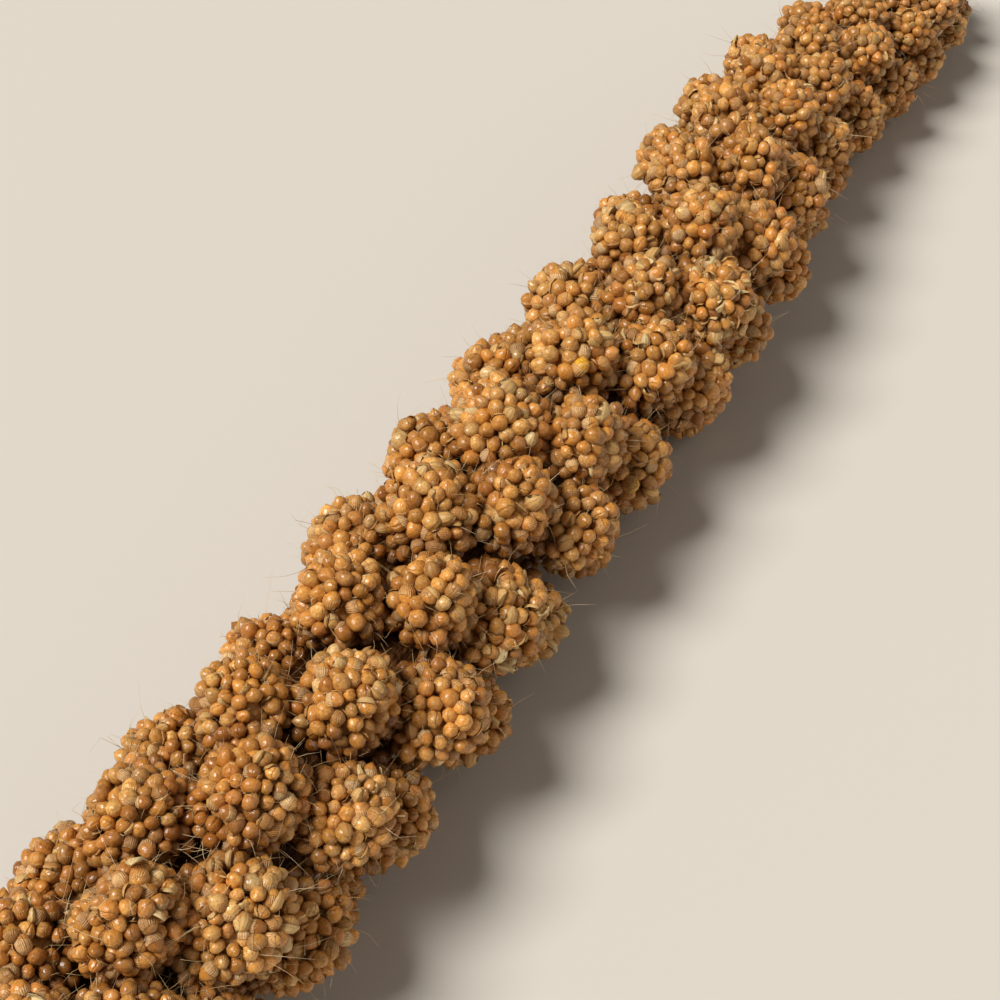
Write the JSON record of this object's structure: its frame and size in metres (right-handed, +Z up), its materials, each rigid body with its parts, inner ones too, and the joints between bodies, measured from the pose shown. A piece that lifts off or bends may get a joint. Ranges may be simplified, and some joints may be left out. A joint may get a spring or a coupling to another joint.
{
  "type": "millet seed head",
  "caption": "Dried foxtail millet seed head lying on its side: a bumpy cylinder of grain clusters set spirally on a central stalk that ends in a short cut stem.",
  "frame": {"origin": "on the resting plane, under the middle of the box that holds the head and its stem", "axes": "+X runs from the cut stem to the tip of the head, +Z is up from the surface it lies on, +Y is to the left of +X seen from above"},
  "size_m": [0.264, 0.0294, 0.0273],
  "materials": {
    "grain": "satin golden-tan grain hulls with pale papery husks and fine straw bristles",
    "straw": "dry, faintly ridged straw-coloured stalk"
  },
  "bodies": {
    "root": {"seed_head": "grain", "stem": "straw"}
  },
  "joints": []
}
